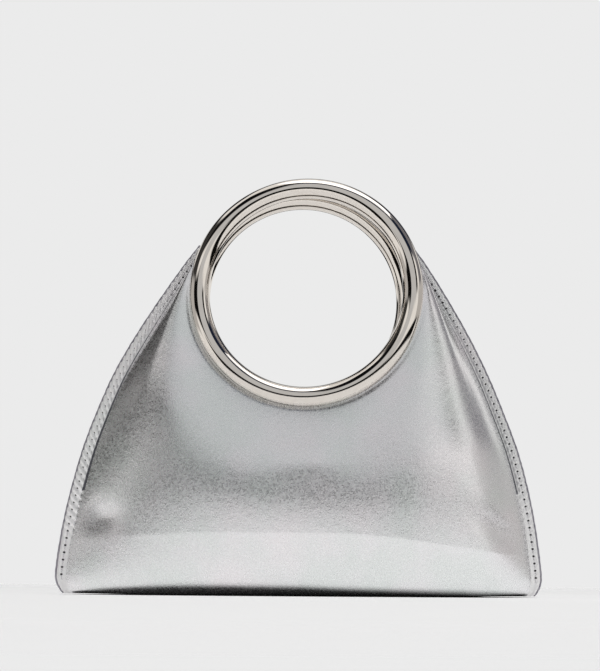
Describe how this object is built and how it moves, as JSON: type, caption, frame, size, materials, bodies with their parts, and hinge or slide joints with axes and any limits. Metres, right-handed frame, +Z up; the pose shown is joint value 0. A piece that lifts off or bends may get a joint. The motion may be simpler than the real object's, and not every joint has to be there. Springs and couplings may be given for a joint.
{
  "type": "ring handle bag",
  "caption": "Soft bell-shaped handbag of metallic leather, sewn along its sides, with a polished round-tube ring held in the top edge of each panel as its handle.",
  "frame": {"origin": "middle of the underside, on the surface that the bag stands on", "axes": "+Z up towards the rings, -Y out of the front panel, +X to the bag's right side seen from the front"},
  "size_m": [0.2619, 0.0575, 0.2257],
  "materials": {
    "silver_leather": "silver foil over fine grain, half gloss",
    "polished_metal": "mirror polished, faintly warm nickel tone",
    "grey_edge_paint": "thick grey edge paint, half gloss"
  },
  "bodies": {
    "root": {"front_panel": "silver_leather", "back_panel": "silver_leather", "ring_front": "polished_metal", "ring_back": "polished_metal", "edge_paint_left": "grey_edge_paint", "edge_paint_right": "grey_edge_paint"}
  },
  "joints": []
}
